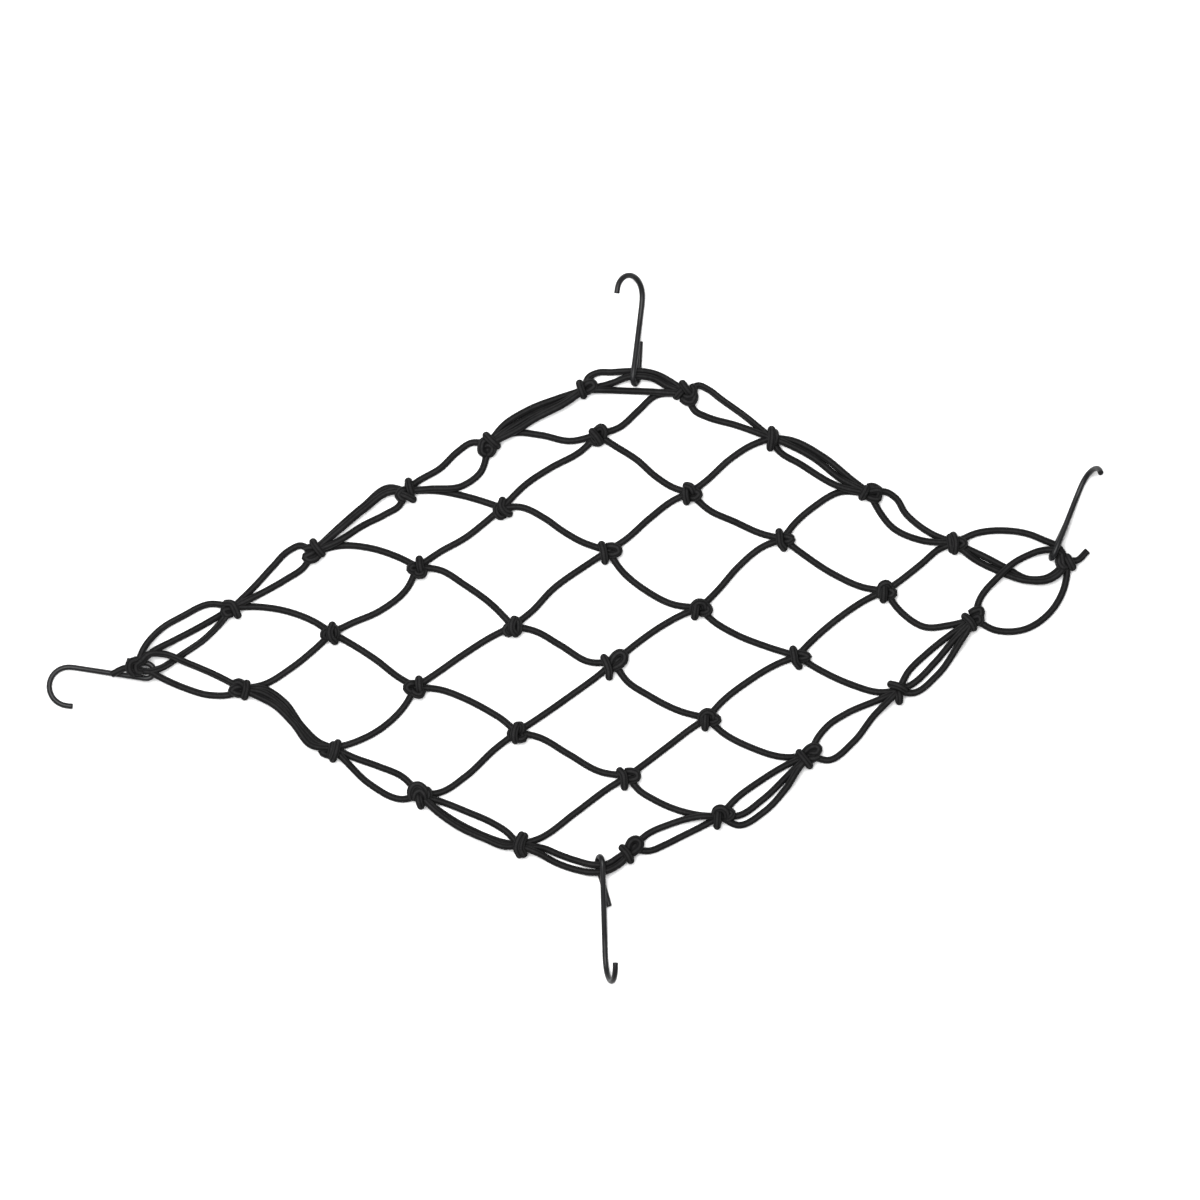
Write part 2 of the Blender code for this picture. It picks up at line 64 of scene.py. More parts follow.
camera_data = bpy.data.cameras.new("camera")
camera_data.sensor_width = SENSOR_WIDTH
camera_data.lens = SENSOR_WIDTH * CAMERA_HEIGHT / FRAME_WIDTH
camera = bpy.data.objects.new("camera", camera_data)
camera.location = (*FRAME_MIDDLE, CAMERA_HEIGHT)
bpy.context.scene.collection.objects.link(camera)
bpy.context.scene.camera = camera
bpy.context.scene.view_settings.view_transform = "Standard"
print("lens:", round(camera_data.lens, 1), "mm")

# %% The floor
FLOOR_HALF = 6.0
FLOOR_HEIGHT = -0.0002


def flat_floor(half):
    """A wide flat square, a hair under the net."""
    sheet = bmesh.new()
    bmesh.ops.create_grid(sheet, x_segments=4, y_segments=4, size=half)
    mesh = bpy.data.meshes.new("floor")
    sheet.to_mesh(mesh)
    sheet.free()
    floor = bpy.data.objects.new("floor", mesh)
    floor.location.z = FLOOR_HEIGHT
    bpy.context.scene.collection.objects.link(floor)
    return floor


floor = flat_floor(FLOOR_HALF)
print("floor:", 2 * FLOOR_HALF, "m wide")

# %% The lights
Panel = namedtuple("Panel", "name x y z width height watts")
PANELS = (
    Panel("panel_over", -0.3, 0.4, 2.4, 1.6, 1.6, 112.0),
    Panel("panel_side", -1.7, 0.3, 1.6, 1.0, 1.8, 12.0),
)
WALL_LIGHT = 0.20


def hang_panel(panel):
    """A broad soft light that faces the net."""
    data = bpy.data.lights.new(panel.name, "AREA")
    data.shape = "RECTANGLE"
    data.size, data.size_y = panel.width, panel.height
    data.energy = panel.watts
    light = bpy.data.objects.new(panel.name, data)
    light.location = (panel.x, panel.y, panel.z)
    light.rotation_euler = (-light.location).to_track_quat("-Z", "Y").to_euler()
    bpy.context.scene.collection.objects.link(light)
    return light


for panel in PANELS:
    hang_panel(panel)
walls = bpy.data.worlds.new("white_walls")
walls.use_nodes = True
walls.node_tree.nodes["Background"].inputs["Color"].default_value = (1.0, 1.0, 1.0, 1.0)
walls.node_tree.nodes["Background"].inputs["Strength"].default_value = WALL_LIGHT
bpy.context.scene.world = walls
print("lights:", [panel.name for panel in PANELS])

# %% [markdown]
# ## Sizes, and where everything lies
# The cord is 4 mm thick and the wire 3.4 mm. The places of the knots and the routes of the cord
# were chosen from the picture, so they are kept in the picture's own units, and one function
# turns them into metres. Nineteen of the strands were changed later, without a sure reading for
# each, and kept after a comparison with the picture. The solids were built from the same numbers,
# which is why the finished cord lies where the solid one does, seen from above.

# %% Sizes
CORD_RADIUS = 0.002
SHEATH_RADIUS = 0.0021           # the yarn of the sheath stands a little proud of the cord
WIRE_RADIUS = 0.0017
PICTURE_UNIT = 1.0 / 1650.0
MIDDLE_X = 574.1
MIDDLE_Y = 628.0
EYE_GAP = 0.0057


def on_surface(x, y):
    """A place of the tables, in metres."""
    return np.array(((x - MIDDLE_X) * PICTURE_UNIT, (MIDDLE_Y - y) * PICTURE_UNIT))


# %% The knots
# lift is in millimetres.
Knot = namedtuple("Knot", "x y lift")
KNOTS = {
    "A0": Knot(584, 390, 0), "A1": Knot(687, 394, 0), "A2": Knot(771, 438, 0),
    "A3": Knot(870, 494, 0), "A4": Knot(954, 543, 0), "A5": Knot(1066.5, 560, 0),
    "B0": Knot(489, 444, 0), "B1": Knot(598, 435, 0), "B2": Knot(690, 493, 0),
    "B3": Knot(783, 539, 0), "B4": Knot(885, 591, 0), "B5": Knot(974, 619, 0),
    "C0": Knot(406, 491, 0), "C1": Knot(502, 508, 0), "C2": Knot(608, 551, 0),
    "C3": Knot(700, 608, 0), "C4": Knot(797, 656, 0), "C5": Knot(898, 691, 0),
    "D0": Knot(313, 552, 0), "D1": Knot(418, 567, 0), "D2": Knot(513, 626, 0),
    "D3": Knot(614, 662, 0), "D4": Knot(707, 718, 0), "D5": Knot(809, 755, 0),
    "E0": Knot(234, 607, 0), "E1": Knot(332, 633, 0), "E2": Knot(416, 687, 0),
    "E3": Knot(517, 732, 0), "E4": Knot(628, 776, 0), "E5": Knot(720, 816, 0),
    "F0": Knot(138, 667, 9.0), "F1": Knot(243, 689, 0), "F2": Knot(334, 748, 0),
    "F3": Knot(420, 795, 0), "F4": Knot(519, 845, 0), "F5": Knot(632, 849, 0),
}
print(len(KNOTS), "knots")

# %% The strands
# From knot to knot, and the places each one passes. A third number is a lift, in millimetres.
Strand = namedtuple("Strand", "start end way")
STRANDS = (
    # Across the mesh, to the right and down.
    Strand("B0", "B1", ((515, 433), (540, 435), (570, 441))),
    Strand("B1", "B2", ((615, 446), (637, 460), (655, 476), (672, 487))),
    Strand("B2", "B3", ((709, 510), (734, 521.5), (761, 533.5))),
    Strand("B3", "B4", ((800, 552), (835, 575), (862, 587))),
    Strand("B4", "B5", ((900, 611), (925, 627), (950, 625))),
    Strand("C0", "C1", ((438, 491), (460, 495), (485, 502))),
    Strand("C1", "C2", ((520, 507), (545, 518.5), (562, 530.5), (580, 541))),
    Strand("C2", "C3", ((622, 571), (645, 590), (672, 604))),
    Strand("C3", "C4", ((712, 620), (735, 634), (765, 646))),
    Strand("C4", "C5", ((818, 669), (850, 684), (878, 692))),
    Strand("D0", "D1", ((343, 545.5), (370, 548), (398, 557))),
    Strand("D1", "D2", ((440, 570), (465, 585), (490, 603))),
    Strand("D2", "D3", ((535, 631), (560, 645), (590, 662))),
    Strand("D3", "D4", ((627, 681), (648, 695), (680, 711))),
    Strand("D4", "D5", ((722, 732), (750, 747), (785, 757))),
    Strand("E0", "E1", ((262, 607), (290, 612), (315, 622))),
    Strand("E1", "E2", ((350, 643), (375, 659), (400, 678))),
    Strand("E2", "E3", ((440, 689.5), (468, 700), (488, 710.5), (501, 718.5))),
    Strand("E3", "E4", ((538.5, 737), (568.5, 754), (600, 771.5))),
    Strand("E4", "E5", ((639, 790), (654, 799.5), (671, 807.5), (700, 815))),
    # Across the mesh, to the right and up.
    Strand("B1", "A1", ((620, 427), (638, 411), (655, 396))),
    Strand("C1", "B1", ((527, 483.5), (550.5, 468), (580.5, 451.5))),
    Strand("D1", "C1", ((440, 552), (465, 538), (488, 520))),
    Strand("E1", "D1", ((350, 624), (380.5, 610.5), (406, 590))),
    Strand("F1", "E1", ((265, 684), (290, 669), (315, 649))),
    Strand("B2", "A2", ((706, 481), (729, 460), (750, 446))),
    Strand("C2", "B2", ((625, 540), (650, 518), (674, 500))),
    Strand("D2", "C2", ((531, 612), (553, 589), (585, 566))),
    Strand("E2", "D2", ((435.5, 674), (460.5, 656.5), (492, 636.5))),
    Strand("F2", "E2", ((352, 743), (379.5, 729.5), (403, 708))),
    Strand("B3", "A3", ((792, 526.5), (813.5, 507), (840, 492))),
    Strand("C3", "B3", ((718, 590), (738, 567), (764, 546))),
    Strand("D3", "C3", ((638, 642.5), (660, 627), (686, 613))),
    Strand("E3", "D3", ((540, 717), (570, 696), (600, 674))),
    Strand("F3", "E3", ((441, 792), (466, 776), (495, 749))),
    Strand("B4", "A4", ((897.5, 582.5), (920.5, 564.5), (940, 548.5))),
    Strand("C4", "B4", ((810.5, 642), (838.5, 618), (870, 597.5))),
    Strand("D4", "C4", ((722.5, 701), (745.5, 683), (778, 663.5))),
    Strand("E4", "D4", ((643, 765), (668, 746), (696, 725))),
    Strand("F4", "E4", ((540, 838), (575, 813), (610, 787))),
    # The upper right edge.
    Strand("A0", "A1", ((589, 377), (597, 373), (612, 372.3), (628, 371.5, 3.45), (642, 371.5, 3.45),
                        (658, 375), (671, 382))),
    Strand("A0", "A1", ((602, 386), (614, 382.5), (628, 377.3, 3.45), (640, 376.5, 3.45), (652, 378.5),
                        (668, 387))),
    Strand("A0", "A1", ((611, 390.3), (634, 391.2), (650, 391.8), (664, 392.8))),
    Strand("A1", "A2", ((698, 385.5), (708, 389.5), (720, 398.5), (745, 416.5))),
    Strand("A1", "A2", ((695, 411), (707, 417), (735, 425))),
    Strand("A2", "A3", ((790, 440), (822, 456), (852, 480))),
    Strand("A2", "A3", ((783, 442.5), (811, 456.5), (843, 480.5))),
    Strand("A2", "A3", ((778, 450), (800, 464), (840, 487))),
    Strand("A3", "A4", ((886, 492), (896, 498.5), (905, 513), (916, 523.5), (930, 533))),
    Strand("A3", "A4", ((876, 506), (893, 528), (920, 540))),
    Strand("A4", "A5", ((977, 533), (1004, 530.5), (1028, 534), (1044, 540.5, 3.55), (1056, 546, 3.55))),
    Strand("A4", "A5", ((984, 556.5), (1005, 567.5), (1029, 579), (1048, 577), (1058, 570))),
    Strand("A4", "A5", ((973, 558.5), (998, 571), (1026, 580.5), (1050, 579), (1060, 572))),
    # The upper left edge.
    Strand("B0", "A0", ((503, 426), (528, 410), (559, 398))),
    Strand("B0", "A0", ((508, 430), (535, 414), (562, 403))),
    Strand("B0", "A0", ((513, 432.5), (535, 419), (566, 403))),
    Strand("C0", "B0", ((417, 482), (440, 468.5), (458, 451.5), (471, 443))),
    Strand("C0", "B0", ((430, 489), (462, 486), (480, 473))),
    Strand("D0", "C0", ((341, 525.5), (362.5, 507), (390, 487.5))),
    Strand("D0", "C0", ((342, 528), (365, 509), (390, 492))),
    Strand("D0", "C0", ((336, 542.5), (364, 525), (385, 514.5), (400, 505))),
    Strand("E0", "D0", ((257, 584), (272.5, 567), (288.5, 551), (301, 545.5))),
    Strand("E0", "D0", ((262, 593), (285, 580), (305, 566))),
    Strand("F0", "E0", ((145, 648, 6.5), (160, 630), (183, 616), (210, 604))),
    Strand("F0", "E0", ((153, 652, 6.5), (173, 641), (196, 629), (219, 616))),
    Strand("F0", "E0", ((143.2, 670.2, 7.6), (150.5, 671.2), (160, 668.5), (183, 654), (204, 639.5),
                        (219, 625))),
    # The lower left edge.
    Strand("F0", "F1", ((150, 654, 8.0), (165, 654, 4.5), (188, 663), (218, 676))),
    Strand("F0", "F1", ((143.0, 670.1, 7.6), (150.7, 671.3), (160, 676.5), (185, 688), (210, 695),
                        (232, 694))),
    Strand("F1", "F2", ((262, 688), (283.5, 701), (303, 727), (319, 742))),
    Strand("F1", "F2", ((262, 692), (281, 705), (299, 727), (318, 745))),
    Strand("F1", "F2", ((257, 695.5), (275, 705), (293.5, 723), (312, 745))),
    Strand("F2", "F3", ((353, 757), (378, 766), (403, 777))),
    Strand("F2", "F3", ((346, 761), (370, 784), (403, 799))),
    Strand("F3", "F4", ((440, 801), (468, 812), (490, 821.5), (507, 832))),
    Strand("F3", "F4", ((440, 811), (455, 821), (472, 830), (503, 842))),
    Strand("F3", "F4", ((437, 811), (458, 826), (485, 838.5), (505, 846))),
    Strand("F4", "F5", ((545, 848.5), (558, 854), (575, 860), (594, 864.4, 3.45), (606, 864.0, 3.45),
                        (620, 856))),
    Strand("F4", "F5", ((538, 852.5), (556, 862.5), (575, 869.2), (594, 872, 3.45), (606, 870.5, 3.45),
                        (621, 862.5))),
    # The lower right edge.
    Strand("F5", "E5", ((646, 835), (670, 824), (700, 816))),
    Strand("F5", "E5", ((650, 850.5), (664, 845), (680, 837), (706, 824))),
    Strand("E5", "D5", ((736, 798.5), (759, 781.5), (790, 763))),
    Strand("E5", "D5", ((738, 815.5), (763, 799), (792, 771))),
    Strand("E5", "D5", ((738, 825), (764, 811.5), (785.5, 788.5), (799, 767))),
    Strand("D5", "C5", ((819, 735.5), (829, 724.5), (846, 713.5), (880, 699))),
    Strand("D5", "C5", ((828, 760), (853, 742), (875, 714))),
    Strand("C5", "B5", ((907.5, 672.5), (926.5, 653.5), (949, 635.5))),
    Strand("C5", "B5", ((912, 684), (935, 662), (957, 636))),
    Strand("C5", "B5", ((912, 693), (937, 675), (962, 638))),
    Strand("B5", "A5", ((979.5, 599.5), (997.5, 577), (1011, 564.5), (1026, 556), (1041, 550.5, 3.55),
                        (1055, 550.5, 3.55))),
    Strand("B5", "A5", ((995, 630), (1025, 629), (1050, 612), (1063, 590), (1066.5, 575))),
    # The cord's two free ends, at the right corner and at the left one over the hook.
    Strand("A5", None, ((1076, 560.5), (1087, 551))),
    Strand("F0", None, ((126, 668, 8.8), (113, 674, 7.3))),
)
print(len(STRANDS), "strands")

# %% The turns of cord over the knots
# Which knot, how the turn lies, and its places, counted from the knot's middle in picture units,
# to the right and down. A band goes over everything and dives at both ends, and an arch does the
# same a little lower. A bight is a loop that comes out from under a band, and a low one is under
# that. A third number is a height of its own, in millimetres.
Turn = namedtuple("Turn", "knot lie way")
TURNS = (
    Turn("A0", "band", ((-4.3, -6.2), (-3, -1), (-0.5, 5.3))),
    Turn("A0", "bight", ((0, -3), (4, -7), (8.5, -7.3), (10.5, -4), (6, 0.5), (0, 2))),
    Turn("A1", "band", ((-4.5, -10), (-1, -5), (2.5, -1))),
    Turn("A1", "arch", ((-10.5, 2.3), (-7.5, -1), (-4.5, -4))),
    Turn("A1", "bight", ((-4, 1), (0, 3.3), (5, 2), (6.8, -3), (4, -8))),
    Turn("A1", "bight", ((-5, 5), (0, 8.5), (5.5, 8), (7.5, 4), (7, 0))),
    Turn("A2", "band", ((0.3, -8), (0.6, -3), (0, 4), (-1, 9.6))),
    Turn("A2", "arch", ((3.6, -5), (4.4, 0), (2.5, 5))),
    Turn("A3", "band", ((-8, 2.8), (-6, -1), (-4, -5))),
    Turn("A3", "low", ((-2, -7), (2, -7.6), (6, -6), (10, -3))),
    Turn("A3", "bight", ((-4, -2), (2, -3.2), (8.3, -3.5), (8.5, 0))),
    Turn("A3", "bight", ((-4, 2), (1, 4.5), (7, 5.2), (8.3, 2))),
    Turn("A4", "arch", ((-4.4, -5.5), (-3.8, 0), (-2.5, 6.5))),
    Turn("A4", "band", ((-1.2, -7.3), (0.8, -1), (0.2, 7.8))),
    Turn("A4", "bight", ((2, -3), (7, -2.5), (10, 0.5), (7, 3.5), (2, 4))),
    Turn("A5", "band", ((0.5, -2.5), (3, 2.5), (5.3, 6.8))),
    Turn("A5", "bight", ((-6, -9), (-5, -2), (-3.5, 4), (0, 6))),
    Turn("A5", "bight", ((-7.5, -3), (-8.4, 3), (-5.5, 7), (0, 6.5))),
    Turn("B0", "band", ((-2.5, -8.2), (2.5, -3), (7.8, 1.8))),
    Turn("B0", "bight", ((-1, -3), (-5.5, -3), (-7.6, 2), (-7.5, 8), (-4, 10))),
    Turn("B0", "bight", ((-3, 2), (1, 1), (4, 4), (3.5, 8), (0, 10.5))),
    Turn("B1", "band", ((-5.5, -3), (-1, 2.2), (2, 7))),
    Turn("B1", "arch", ((-1, -5), (3.5, -7.8), (6.4, -4.5), (5.5, 0.5))),
    Turn("B1", "low", ((-6, 4), (-3, 7.8), (1, 8), (5, 3))),
    Turn("B2", "band", ((-4.5, -2.5), (-4.9, 2), (-3.5, 8.4))),
    Turn("B2", "arch", ((-3.5, -7.3), (0.5, -6.3), (3, -1))),
    Turn("B2", "bight", ((1, -2), (6, -1.5), (9.1, 1), (6.5, 4.6), (1, 5))),
    Turn("B3", "band", ((-4, -6.9), (-3.7, -1), (-3, 4.5), (0.5, 8.8))),
    Turn("B3", "bight", ((-1, -2.5), (5, -2), (9, 0), (6, 2.4), (0, 2.6))),
    Turn("B4", "band", ((-1.5, -4.5, 6.5), (-1.5, 1), (-2, 8.3))),
    Turn("B4", "arch", ((4, -5), (0.5, -7.8, 8.0), (-3.5, -6, 7.4), (-5.2, -1, 6.4), (-5, 4))),
    Turn("B4", "bight", ((3, -2), (6, -1), (8.7, 1.8), (6.5, 4.5), (3, 4))),
    Turn("B5", "band", ((-9.3, -2.5), (-4.5, 2), (-1, 8.3))),
    Turn("B5", "bight", ((-4, -6), (1, -9), (6, -9.5), (6.5, -5.5), (0, -3))),
    Turn("B5", "bight", ((-2, -1), (5, -2.8), (6.3, 1), (1, 4))),
    Turn("C0", "band", ((2.6, -9.3), (4, -3.5), (5.5, 2))),
    Turn("C0", "arch", ((-4, 3), (2, 5.5), (7, 8.3))),
    Turn("C0", "bight", ((-1, 9), (-6, 7), (-7.6, 3.8), (-5, 0), (0, -1))),
    Turn("C1", "band", ((0.5, -7.3), (-0.8, -1.5), (2, 3.2), (7, 5.5))),
    Turn("C1", "bight", ((-1, -3), (-5.5, 0), (-5, 4.5), (-2, 8.6), (2, 7))),
    Turn("C2", "band", ((-6.3, -6.2), (-4.6, -1), (-3.8, 4), (-3, 9.8))),
    Turn("C2", "bight", ((-1, -4.5), (5, -5), (10, -2.8), (10.8, 1), (7, 3.2), (-1, 3))),
    Turn("C3", "band", ((-3.5, -3.5, 6.5), (-4.3, 1.5), (-5.3, 8.3))),
    Turn("C3", "arch", ((-7.2, 3), (-6.4, -2.5, 7.2), (-2, -6, 8.2), (3, -5, 7.4), (4.5, 0))),
    Turn("C3", "bight", ((4, -1.5), (7.5, -1.5), (9.3, 2), (6, 5), (1, 5))),
    Turn("C4", "band", ((-4.1, -6.7), (-2.9, 0), (-2, 5.5), (1.5, 9.9))),
    Turn("C4", "bight", ((-1, -2.5), (6, -2.2), (11, 0.8), (6, 2.7), (-1, 2.2))),
    Turn("C5", "arch", ((0.2, 1.5), (1, 6), (0.8, 9.9))),
    Turn("C5", "band", ((-7.3, -6.8), (-1, -5.3), (5.5, -1.8))),
    Turn("D0", "band", ((0.5, -9.8), (4.5, -4), (9, 1.3))),
    Turn("D0", "bight", ((3, -4), (-3, -4.4), (-7.2, -3))),
    Turn("D0", "bight", ((3, -1), (-3, 2.3), (-7.7, 5), (-4, 7.8), (2, 7), (6, 3))),
    Turn("D1", "band", ((1.5, -7.6), (2.2, -1.5), (3.5, 4, 6.6))),
    Turn("D1", "bight", ((-2.5, 4), (1, 8.3, 7), (5, 7.8, 7.4), (6.3, 3.5, 6.4))),
    Turn("D1", "bight", ((-1, -1), (-6, -1.4), (-8, 2), (-5.5, 4), (-1, 3))),
    Turn("D2", "band", ((1.2, -6.5), (-0.9, -1.5), (-0.9, 3), (2.5, 7.5))),
    Turn("D2", "bight", ((2, -6.5), (5.5, -4.5), (6, 0), (5, 6), (2, 6.5))),
    Turn("D2", "bight", ((-2, 6), (-5, 7.8), (-7.4, 4.5), (-5.5, 0.5), (-2, 0))),
    Turn("D3", "band", ((-9.9, -4.3), (-7.3, 1), (-5.3, 7), (-4.8, 14.4))),
    Turn("D3", "bight", ((-4, 4), (-2, -3), (2, -8), (6.5, -9.8), (10.3, -7.5), (10.6, -2.5), (7, 2),
                         (1, 5.5), (-3, 7))),
    Turn("D3", "low", ((-1, 2), (3, -2), (7, -4.5))),
    Turn("D4", "band", ((-1.4, -3.8, 6.5), (-1.8, 1.5), (-2, 9.3))),
    Turn("D4", "arch", ((-6, 3), (-5.3, -3, 7.2), (-0.5, -6.8, 8.2), (4.5, -5, 7.4), (5.5, 0))),
    Turn("D4", "bight", ((3, -1), (8, -1.3), (11, 1.3), (7, 4.3), (2, 4))),
    Turn("D5", "band", ((-9.8, -2.4), (-4.6, 4), (0, 9.9))),
    Turn("D5", "bight", ((-5, -2), (0, -7.5), (6, -9.2), (9.5, -7), (8.3, -3.4), (1, -2.6))),
    Turn("D5", "bight", ((-2, 3), (4, 3.3), (8.2, 1.6))),
    Turn("E0", "band", ((-7, -3.6), (-1.5, -3.4), (2, 2), (4, 7.9))),
    Turn("E0", "bight", ((0, 2), (-5, 1.5), (-10, 3.5), (-8, 7.5), (-2, 6.5))),
    Turn("E1", "band", ((0.5, -7.6), (-1.7, -1), (-0.5, 4.6), (3, 8.1))),
    Turn("E1", "bight", ((1, -5.5), (4.3, -4), (5, 1), (2, 5))),
    Turn("E1", "bight", ((-2, -2), (-7, -1.2), (-8.3, 2), (-4, 4))),
    Turn("E2", "band", ((3, -7.7), (3.5, -1), (4.4, 3.5, 6.6))),
    Turn("E2", "bight", ((-3, 3), (0, 7, 7), (4.5, 8, 7.4), (6.8, 3.5, 6.4))),
    Turn("E2", "bight", ((-1, -3.5), (-7, -3), (-9.4, 0.5), (-7, 3.8), (-1, 4))),
    Turn("E3", "band", ((0, -6.6), (-2.2, -1), (-2.7, 4), (-1.5, 8))),
    Turn("E3", "bight", ((1, -7), (4.5, -6.8), (5, -3), (2, 0))),
    Turn("E3", "bight", ((-1, 6), (3, 7.3), (7.2, 6), (5.5, 3))),
    Turn("E3", "low", ((-3, -2), (-6.4, 0), (-6, 4), (-3, 6))),
    Turn("E4", "band", ((-8, -5.3), (-4.5, -1.2), (-3.8, 4.5), (-3.6, 10.4))),
    Turn("E4", "bight", ((-2, -4.8), (4, -5), (9, -2.5), (9, 1.5), (4, 3.5), (-1, 3))),
    Turn("E5", "band", ((-2, -4, 6.5), (-2.5, 1), (-3, 9.3))),
    Turn("E5", "arch", ((-5.2, -2), (-4.3, -6.5, 7.2), (0.5, -8.5, 8.2), (5.5, -5.5, 7.4), (6.5, -0.5))),
    Turn("E5", "bight", ((5, -4), (9.5, -5.3), (12.3, -3), (10, 0.5), (4, 1))),
    Turn("F0", "band", ((-1, -7), (-6.3, -4.5), (-7, 1.5), (-4, 5.8))),
    Turn("F0", "bight", ((4, -6), (-1, -2), (0, 4), (5, 5))),
    Turn("F1", "band", ((4, -5.5), (4.4, -1), (2, 7.2))),
    Turn("F1", "bight", ((-8, -6), (-3, -7.3), (1, -4), (2, 1))),
    Turn("F1", "bight", ((-1, -2), (-7, -2), (-11, 1.5), (-7, 4.3), (-1, 5))),
    Turn("F2", "band", ((4, -5), (3, 0), (1.5, 6), (-0.6, 10.4))),
    Turn("F2", "arch", ((-0.6, -3.2), (-1.6, 1.5), (-3.2, 7.6))),
    Turn("F2", "low", ((-3, 0), (-8, 2), (-12, 3.5), (-8, 6), (-3, 7))),
    Turn("F3", "band", ((-1, 1, 6.5), (-0.5, 5), (1, 10.2))),
    Turn("F3", "arch", ((-8.6, 1), (-9, -5), (-6, -9.5), (-1, -10.4), (4, -7), (6, -2))),
    Turn("F3", "arch", ((-5, 2), (-4, -3), (0, -4.8), (4, -1.5), (5, 3))),
    Turn("F3", "bight", ((7, 4), (9.5, -1), (8, -5), (3, -5))),
    Turn("F4", "band", ((2.5, -10), (-1, -4), (-2.3, 2), (0.5, 9))),
    Turn("F4", "arch", ((5.4, -9), (2.9, -3), (2.1, 3), (4.8, 8.4))),
    Turn("F5", "band", ((-9.5, -1.3), (-5, 3.5), (-1.6, 10.6))),
    Turn("F5", "bight", ((-3.5, 2), (-3.5, -4), (-0.5, -9), (4, -10.5), (8.2, -7.5), (7.5, -2), (3, 2),
                         (-2, 5))),
    Turn("F5", "low", ((-1, 1), (2, -3), (5, -5.5))),
)
print(len(TURNS), "turns")

# %% [markdown]
# ## Routes of the cord
# A cord bends smoothly, so each route is a smooth curve through its few places. A strand rests on
# the surface until it meets one that was laid before it, and then it rises over that one and comes
# down again. That is how a hand lays a cord, so the strands are laid one by one, in the order of
# the table, and each takes the height of what is already there.

# %% A smooth curve through a few places
def smooth_curve(points, step):
    """Points at an even step along a smooth curve through the given points."""
    points = np.asarray(points, float)
    spans = np.linalg.norm(np.diff(points, axis=0), axis=1)
    at = np.concatenate(([0.0], np.cumsum(spans)))
    slopes = np.diff(points, axis=0) / spans[:, None]
    tangents = np.empty_like(points)
    tangents[0], tangents[-1] = slopes[0], slopes[-1]
    share = (spans[1:] / (spans[1:] + spans[:-1]))[:, None]
    tangents[1:-1] = slopes[:-1] * share + slopes[1:] * (1 - share)
    places = np.linspace(0.0, at[-1], max(3, round(at[-1] / step) + 1))
    i = np.clip(np.searchsorted(at, places, side="right") - 1, 0, len(spans) - 1)
    u = ((places - at[i]) / spans[i])[:, None]
    curve = ((2 * u**3 - 3 * u**2 + 1) * points[i] + (u**3 - 2 * u**2 + u) * spans[i, None] * tangents[i]
             + (3 * u**2 - 2 * u**3) * points[i + 1] + (u**3 - u**2) * spans[i, None] * tangents[i + 1])
    return places, curve


def ease(t):
    """A smooth rise from 0 to 1."""
    t = np.clip(t, 0.0, 1.0)
    return t * t * (3 - 2 * t)


# %% Where each strand runs, seen from above
STRAND_STEP = 0.00125
KNOT_HEART = 0.0042              # the height of the strands in the middle of a knot
HEART_REACH = 0.0125             # how far from a knot's middle its strands start to rise


def plan_of(strand):
    """A strand's points seen from above, and the height it would have with nothing under it."""
    first = KNOTS[strand.start]
    stops = [(first.x, first.y, first.lift), *strand.way]
    if strand.end:
        last = KNOTS[strand.end]
        stops.append((last.x, last.y, last.lift))
    flat = [on_surface(stop[0], stop[1]) for stop in stops]
    lifts = np.array([stop[2] / 1000 if len(stop) > 2 else 0.0 for stop in stops])
    reach = np.concatenate(([0.0], np.cumsum(np.linalg.norm(np.diff(flat, axis=0), axis=1))))
    places, curve = smooth_curve(flat, STRAND_STEP)
    i = np.clip(np.searchsorted(reach, places, side="right") - 1, 0, len(lifts) - 2)
    rise = ease((places - reach[i]) / (reach[i + 1] - reach[i]))
    height = SHEATH_RADIUS + lifts[i] * (1 - rise) + lifts[i + 1] * rise
    height += (KNOT_HEART - SHEATH_RADIUS) * ease(1 - places / HEART_REACH)
    if strand.end:
        height += (KNOT_HEART - SHEATH_RADIUS) * ease(1 - (places[-1] - places) / HEART_REACH)
    return places, curve, height


# %% Lay the strands over one another
KNOT_INSIDE = 0.0075             # nearer than this to a knot's middle, strands share the knot
STEEPEST = 0.42                  # how steeply a strand climbs over another
SOFTEN = (0.1, 0.2, 0.4, 0.2, 0.1)    # how each height is blended with its neighbours
HIGHEST = 0.0072                 # no strand is pushed higher than this by the ones under it


def lay_strands(strands):
    """The routes of all strands, each laid over those before it."""
    routes, laid = [], np.empty((0, 3))
    for strand in strands:
        places, curve, height = plan_of(strand)
        if len(laid):
            apart = np.linalg.norm(curve[:, None, :] - laid[None, :, :2], axis=2)
            over = np.where(apart < 2 * CORD_RADIUS,
                            laid[None, :, 2] + np.sqrt(np.maximum(0.0, 4 * CORD_RADIUS**2 - apart**2)), 0.0)
            need = np.minimum(over.max(axis=1), HIGHEST)
            inside = places < KNOT_INSIDE
            if strand.end:
                inside |= places > places[-1] - KNOT_INSIDE
            need[inside] = 0.0
            height = np.maximum(height, need)
        for order in (range(1, len(height)), range(len(height) - 2, -1, -1)):
            for k in order:
                before = k - 1 if order.step > 0 else k + 1
                height[k] = max(height[k], height[before] - STEEPEST * STRAND_STEP)
        padded = np.pad(height, 2, mode="edge")
        height = np.convolve(padded, SOFTEN, mode="valid")
        route = np.column_stack((curve, height))
        routes.append(route)
        free = places > KNOT_INSIDE
        if strand.end:
            free &= places < places[-1] - KNOT_INSIDE
        laid = np.concatenate((laid, route[free]))
    return routes


strand_routes = lay_strands(STRANDS)
cord_used = sum(np.linalg.norm(np.diff(route, axis=0), axis=1).sum() for route in strand_routes)
print("cord in the strands:", round(cord_used, 2), "m")

